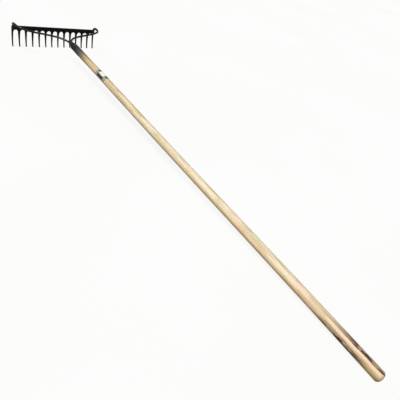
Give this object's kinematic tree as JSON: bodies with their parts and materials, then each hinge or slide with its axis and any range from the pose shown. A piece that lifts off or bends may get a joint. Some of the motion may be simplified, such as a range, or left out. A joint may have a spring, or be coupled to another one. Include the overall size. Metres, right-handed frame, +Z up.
{
  "type": "bow rake",
  "caption": "Garden bow rake: black steel comb head with curved tines, carried by a two-rod bow on a long straight wooden pole with a domed butt.",
  "frame": {"origin": "on the ground, at the middle of the whole rake's bounding box seen from above, as it lies on its tine tips and its butt", "axes": "+X along the head bar, +Y from the butt towards the head, +Z up"},
  "size_m": [0.3621, 1.721, 0.1015],
  "materials": {
    "head_paint": "thin black paint over rolled steel, satin, worn at the tips",
    "rod_paint": "thin black paint over round steel rod, satin",
    "weld_paint": "black paint over a rough weld bead",
    "ferrule_paint": "black paint over rolled sheet steel, glossy, worn at the rear rim",
    "nail_steel": "bare nail head, dull",
    "pole_wood": "pale yellowish hardwood under clear varnish, long grain",
    "label_film": "grey-green printed film with a white panel and plain dark blocks, and no lettering"
  },
  "bodies": {
    "root": {"rake_head": "head_paint", "left_bow_rod": "rod_paint", "right_bow_rod": "rod_paint", "left_inner_weld": "weld_paint", "left_outer_weld": "weld_paint", "right_inner_weld": "weld_paint", "right_outer_weld": "weld_paint", "neck_upper_weld": "weld_paint", "neck_lower_weld": "weld_paint", "ferrule": "ferrule_paint", "ferrule_nail": "nail_steel", "handle": "pole_wood", "label": "label_film"}
  },
  "joints": []
}
